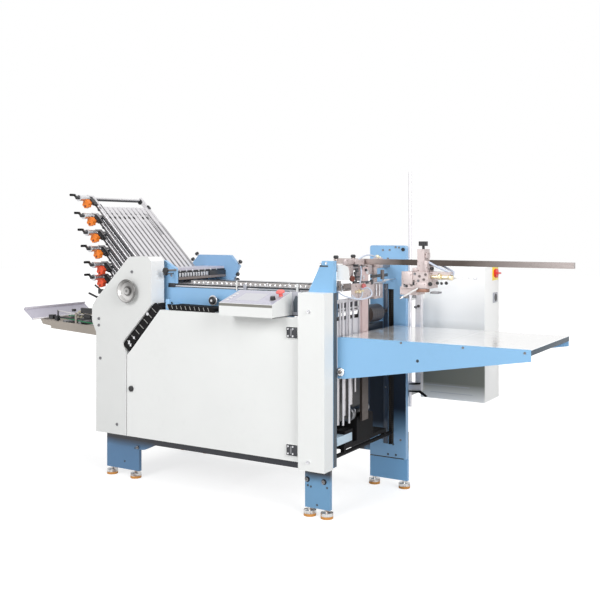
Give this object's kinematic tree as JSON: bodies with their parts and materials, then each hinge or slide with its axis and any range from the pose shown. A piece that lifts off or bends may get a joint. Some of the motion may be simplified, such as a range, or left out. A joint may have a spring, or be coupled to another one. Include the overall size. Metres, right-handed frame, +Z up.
{
  "type": "paper folding machine",
  "caption": "Floor-standing buckle folder: blue frame, white covers, slanted fold plates with crank stops, register table, pile table under a suction head, sheet delivery.",
  "frame": {"origin": "on the floor under the middle of the overall box", "axes": "+X from the delivery towards the pile table, +Y from the operator's side towards the drive side, +Z up"},
  "size_m": [2.8731, 1.194, 1.526],
  "materials": {
    "blue_paint": "satin enamel",
    "white_paint": "fine satin powder coat",
    "cabinet_paint": "satin powder coat",
    "bright_steel": "brushed, bright",
    "polished_sheet": "polished",
    "grey_steel": "ground, dull",
    "rail_steel": "ground, warm grey",
    "machined_block": "machined",
    "lilac_sheet": "satin",
    "trough_sheet": "satin",
    "foot_chrome": "bright",
    "black_plastic": "fine grain",
    "orange_plastic": "semi gloss",
    "red_plastic": "semi gloss",
    "cream_rubber": "soft, matt",
    "dark_roller": "matt",
    "dark_metal": "satin"
  },
  "bodies": {
    "machine": {"base_frame": "blue_paint", "foot_front_left_a": "foot_chrome", "foot_front_left_b": "foot_chrome", "foot_rear_left_a": "foot_chrome", "foot_rear_left_b": "foot_chrome", "foot_front_right_a": "foot_chrome", "foot_front_right_b": "foot_chrome", "foot_rear_right_a": "foot_chrome", "foot_rear_right_b": "foot_chrome", "side_plate_front": "blue_paint", "side_plate_rear": "blue_paint", "drive_housing": "white_paint", "feeder_plate_front": "blue_paint", "feeder_plate_rear": "blue_paint", "left_cover": "white_paint", "column_cover": "white_paint", "register_table": "bright_steel", "control_box": "white_paint", "feed_rail": "rail_steel", "front_gauge": "bright_steel", "lift_drive": "dark_metal", "delivery_trough": "trough_sheet", "control_cabinet": "cabinet_paint", "rear_mast": "bright_steel", "fold_plate_1": "bright_steel", "fold_plate_2": "bright_steel", "fold_plate_3": "bright_steel", "fold_plate_4": "bright_steel", "fold_plate_5": "bright_steel", "fold_plate_6": "bright_steel"},
    "door": {"front_door": "white_paint"},
    "door_lock": {"door_lock": "black_plastic"},
    "main_shaft": {"handwheel": "bright_steel", "fold_roller": "bright_steel"},
    "infeed_roller": {"infeed_roller": "grey_steel"},
    "infeed_lid": {"infeed_lid": "lilac_sheet"},
    "register_knob": {"register_knob": "black_plastic"},
    "ball_rail": {"ball_rail": "grey_steel"},
    "speed_knob": {"speed_knob": "black_plastic"},
    "stop_button": {"stop_button": "red_plastic"},
    "suction_head": {"suction_head": "machined_block"},
    "head_clamp_knob": {"head_clamp_knob": "black_plastic"},
    "pile_table": {"feed_table": "blue_paint", "table_top": "polished_sheet"},
    "feed_drum": {"feed_drum": "dark_roller"},
    "delivery_wheel": {"delivery_wheel": "cream_rubber"},
    "delivery_board": {"delivery_board": "lilac_sheet"},
    "main_switch": {"main_switch": "red_plastic"},
    "stop_crank_1": {"stop_crank_1": "black_plastic"},
    "plate_knob_1": {"plate_knob_1": "orange_plastic"},
    "stop_crank_2": {"stop_crank_2": "black_plastic"},
    "plate_knob_2": {"plate_knob_2": "orange_plastic"},
    "stop_crank_3": {"stop_crank_3": "black_plastic"},
    "plate_knob_3": {"plate_knob_3": "orange_plastic"},
    "stop_crank_4": {"stop_crank_4": "black_plastic"},
    "plate_knob_4": {"plate_knob_4": "orange_plastic"},
    "stop_crank_5": {"stop_crank_5": "black_plastic"},
    "plate_knob_5": {"plate_knob_5": "orange_plastic"},
    "stop_crank_6": {"stop_crank_6": "black_plastic"},
    "plate_knob_6": {"plate_knob_6": "orange_plastic"}
  },
  "joints": [
    {"name": "front_door_hinge", "type": "hinge", "parent": "machine", "child": "door", "pos_m": [0.35245, -0.494, 0.5], "axis": [0, 0, 1], "range_deg": [0, 95]},
    {"name": "door_lock_turn", "type": "hinge", "parent": "door", "child": "door_lock", "pos_m": [-0.60155, -0.49, 0.474], "axis": [0, -1, 0], "range_deg": [0, 90]},
    {"name": "handwheel_turn", "type": "hinge", "parent": "machine", "child": "main_shaft", "pos_m": [-0.61355, -0.405, 0.949], "axis": [0, -1, 0], "continuous": true},
    {"name": "infeed_roller_turn", "type": "hinge", "parent": "machine", "child": "infeed_roller", "pos_m": [-0.45355, -0.205, 1.022], "axis": [0, -1, 0], "continuous": true},
    {"name": "infeed_lid_hinge", "type": "hinge", "parent": "machine", "child": "infeed_lid", "pos_m": [-0.55855, -0.155, 1.054], "axis": [0, -1, 0], "range_deg": [0, 110]},
    {"name": "register_knob_turn", "type": "hinge", "parent": "machine", "child": "register_knob", "pos_m": [-0.17355, -0.385, 0.914], "axis": [0, -1, 0], "range_deg": [-181, 3601]},
    {"name": "ball_rail_shift", "type": "slide", "parent": "machine", "child": "ball_rail", "axis": [0, 1, 0], "range_m": [-0.0125, 0.25]},
    {"name": "speed_knob_turn", "type": "hinge", "parent": "machine", "child": "speed_knob", "pos_m": [0.24745, -0.53746, 0.94228], "axis": [0, -0.2786, 0.9604], "range_deg": [0, 300]},
    {"name": "stop_button_press", "type": "slide", "parent": "machine", "child": "stop_button", "axis": [0, 0.2786, -0.9604], "range_m": [0, 0.006], "stiffness_N_per_m": 600},
    {"name": "stop_crank_1_turn", "type": "hinge", "parent": "machine", "child": "stop_crank_1", "pos_m": [-0.99922, -0.425, 1.40857], "axis": [0, -1, 0], "range_deg": [-1710, 1710]},
    {"name": "plate_knob_1_turn", "type": "hinge", "parent": "machine", "child": "plate_knob_1", "pos_m": [-0.98579, -0.395, 1.37958], "axis": [0, -1, 0], "range_deg": [-175, 175]},
    {"name": "stop_crank_2_turn", "type": "hinge", "parent": "machine", "child": "stop_crank_2", "pos_m": [-0.96786, -0.425, 1.31639], "axis": [0, -1, 0], "range_deg": [-1710, 1710]},
    {"name": "plate_knob_2_turn", "type": "hinge", "parent": "machine", "child": "plate_knob_2", "pos_m": [-0.95443, -0.395, 1.2874], "axis": [0, -1, 0], "range_deg": [-175, 175]},
    {"name": "stop_crank_3_turn", "type": "hinge", "parent": "machine", "child": "stop_crank_3", "pos_m": [-0.94333, -0.425, 1.23106], "axis": [0, -1, 0], "range_deg": [-1710, 1710]},
    {"name": "plate_knob_3_turn", "type": "hinge", "parent": "machine", "child": "plate_knob_3", "pos_m": [-0.9299, -0.395, 1.20207], "axis": [0, -1, 0], "range_deg": [-175, 175]},
    {"name": "stop_crank_4_turn", "type": "hinge", "parent": "machine", "child": "stop_crank_4", "pos_m": [-0.92185, -0.425, 1.14876], "axis": [0, -1, 0], "range_deg": [-1710, 1710]},
    {"name": "plate_knob_4_turn", "type": "hinge", "parent": "machine", "child": "plate_knob_4", "pos_m": [-0.90841, -0.395, 1.11977], "axis": [0, -1, 0], "range_deg": [-175, 175]},
    {"name": "stop_crank_5_turn", "type": "hinge", "parent": "machine", "child": "stop_crank_5", "pos_m": [-0.90036, -0.425, 1.06646], "axis": [0, -1, 0], "range_deg": [-1710, 1710]},
    {"name": "plate_knob_5_turn", "type": "hinge", "parent": "machine", "child": "plate_knob_5", "pos_m": [-0.88692, -0.395, 1.03746], "axis": [0, -1, 0], "range_deg": [-175, 175]},
    {"name": "stop_crank_6_turn", "type": "hinge", "parent": "machine", "child": "stop_crank_6", "pos_m": [-0.89811, -0.425, 1.0034], "axis": [0, -1, 0], "range_deg": [-1710, 1710]},
    {"name": "plate_knob_6_turn", "type": "hinge", "parent": "machine", "child": "plate_knob_6", "pos_m": [-0.88467, -0.395, 0.9744], "axis": [0, -1, 0], "range_deg": [-175, 175]},
    {"name": "suction_head_slide", "type": "slide", "parent": "machine", "child": "suction_head", "axis": [1, 0, 0], "range_m": [-0.17, 0.5]},
    {"name": "head_clamp_turn", "type": "hinge", "parent": "suction_head", "child": "head_clamp_knob", "pos_m": [0.77795, -0.135, 1.18], "axis": [0, 0, 1], "range_deg": [0, 720]},
    {"name": "pile_table_lift", "type": "slide", "parent": "machine", "child": "pile_table", "axis": [0, 0, 1], "range_m": [-0.36, 0.1]},
    {"name": "feed_drum_turn", "type": "hinge", "parent": "machine", "child": "feed_drum", "pos_m": [0.45445, -0.005, 0.853], "axis": [0, 1, 0], "continuous": true},
    {"name": "delivery_wheel_turn", "type": "hinge", "parent": "machine", "child": "delivery_wheel", "pos_m": [-1.10855, -0.317, 0.797], "axis": [0, 1, 0], "continuous": true},
    {"name": "delivery_board_hinge", "type": "hinge", "parent": "machine", "child": "delivery_board", "pos_m": [-1.36655, -0.185, 0.7673], "axis": [0, 1, 0], "range_deg": [-36, 50]},
    {"name": "main_switch_turn", "type": "hinge", "parent": "machine", "child": "main_switch", "pos_m": [0.87245, 0.536, 1.03], "axis": [1, 0, 0], "range_deg": [0, 90]}
  ],
  "couplings": [
    {"joint": "infeed_roller_turn", "follows": "handwheel_turn", "ratio": -0.8333},
    {"joint": "register_knob_turn", "follows": "ball_rail_shift", "rad_per_m": 251.33}
  ]
}
